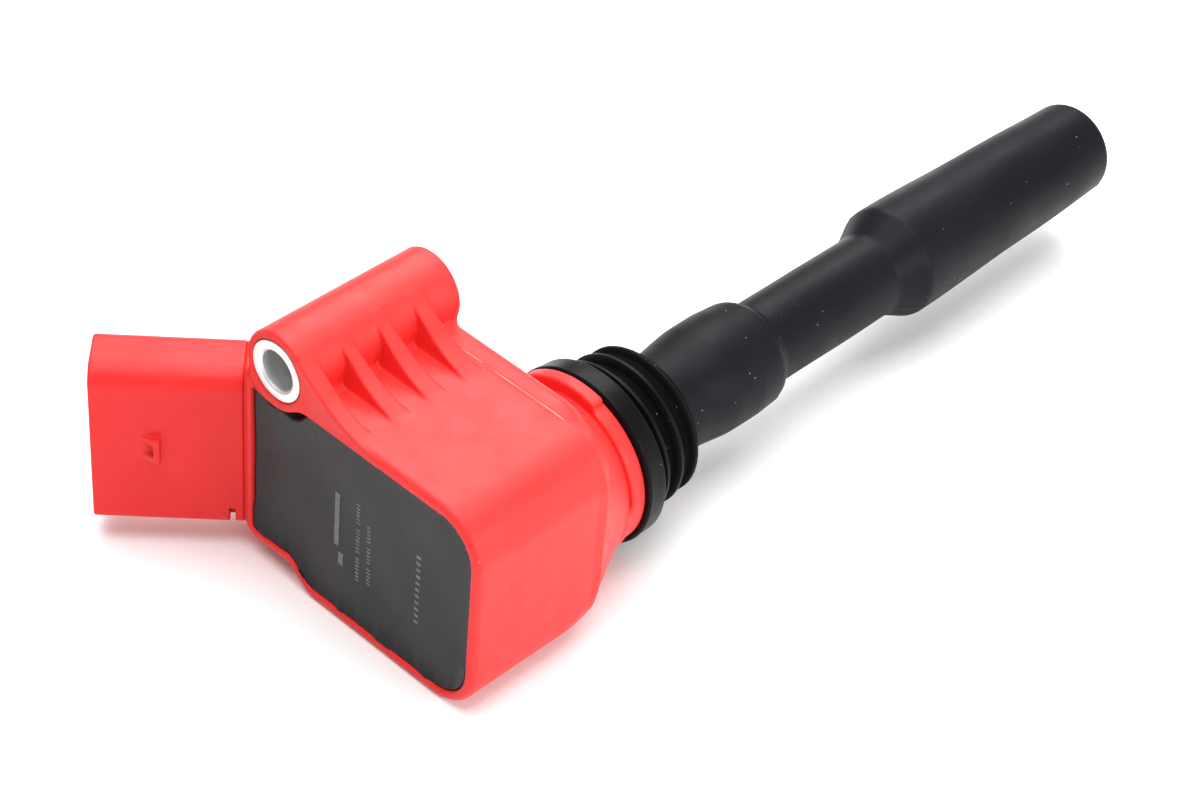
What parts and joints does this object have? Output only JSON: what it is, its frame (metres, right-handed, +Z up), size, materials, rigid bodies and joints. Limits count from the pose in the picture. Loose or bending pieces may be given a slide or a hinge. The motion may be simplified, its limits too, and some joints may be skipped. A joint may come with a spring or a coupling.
{
  "type": "ignition coil",
  "caption": "Plug-top ignition coil with a potted head, bolt boss, angled four-way connector, lipped well seal and long rubber boot with a sprung contact.",
  "frame": {"origin": "on the coil axis, at the front edge of the well seal's band", "axes": "+X along the coil towards the spark plug, +Z up, towards the bolt boss, +Y towards the connector side"},
  "size_m": [0.1838, 0.0754, 0.0472],
  "materials": {
    "red_housing": "satin moulded plastic",
    "red_connector": "satin moulded plastic",
    "terminal_tin": "tinned copper alloy",
    "sleeve_steel": "zinc-plated steel, turned ends",
    "potting_resin": "cast epoxy, satin gloss",
    "core_steel": "stacked electrical steel",
    "cushion_rubber": "matt",
    "magnet": "sintered",
    "bobbin_plastic": "glass-filled plastic",
    "copper_wire": "enamelled copper wire",
    "circuit_board": "coated board",
    "chip_plastic": "moulded epoxy",
    "spreader_aluminium": "plain",
    "contact_brass": "stamped",
    "cap_steel": "nickel plated",
    "resistor_ceramic": "ceramic rod",
    "spring_steel": "spring wire",
    "seal_rubber": "moulded rubber, slightly glossy",
    "boot_rubber": "matt silicone rubber"
  },
  "bodies": {
    "coil": {"coil_housing": "red_housing", "connector_housing": "red_connector", "terminal_pin_1": "terminal_tin", "terminal_pin_2": "terminal_tin", "terminal_pin_3": "terminal_tin", "terminal_pin_4": "terminal_tin", "mounting_sleeve": "sleeve_steel", "potting_compound": "potting_resin", "outer_yoke": "core_steel", "yoke_cushions": "cushion_rubber", "centre_core": "core_steel", "bias_magnet": "magnet", "primary_bobbin": "bobbin_plastic", "primary_winding": "copper_wire", "secondary_bobbin": "bobbin_plastic", "secondary_winding": "copper_wire", "driver_board": "circuit_board", "power_switch": "chip_plastic", "heat_spreader": "spreader_aluminium", "hv_diode": "chip_plastic", "hv_terminal": "contact_brass", "resistor_cap_upper": "cap_steel", "suppressor_resistor": "resistor_ceramic", "resistor_cap_lower": "cap_steel", "contact_spring": "spring_steel", "well_seal": "seal_rubber", "plug_boot": "boot_rubber"},
    "contact": {"contact_cup": "contact_brass"}
  },
  "joints": [
    {"name": "contact_slide", "type": "slide", "parent": "coil", "child": "contact", "axis": [-1, 0, 0], "range_m": [0, 0.006], "stiffness_N_per_m": 400, "deforming": ["contact_spring"]}
  ]
}
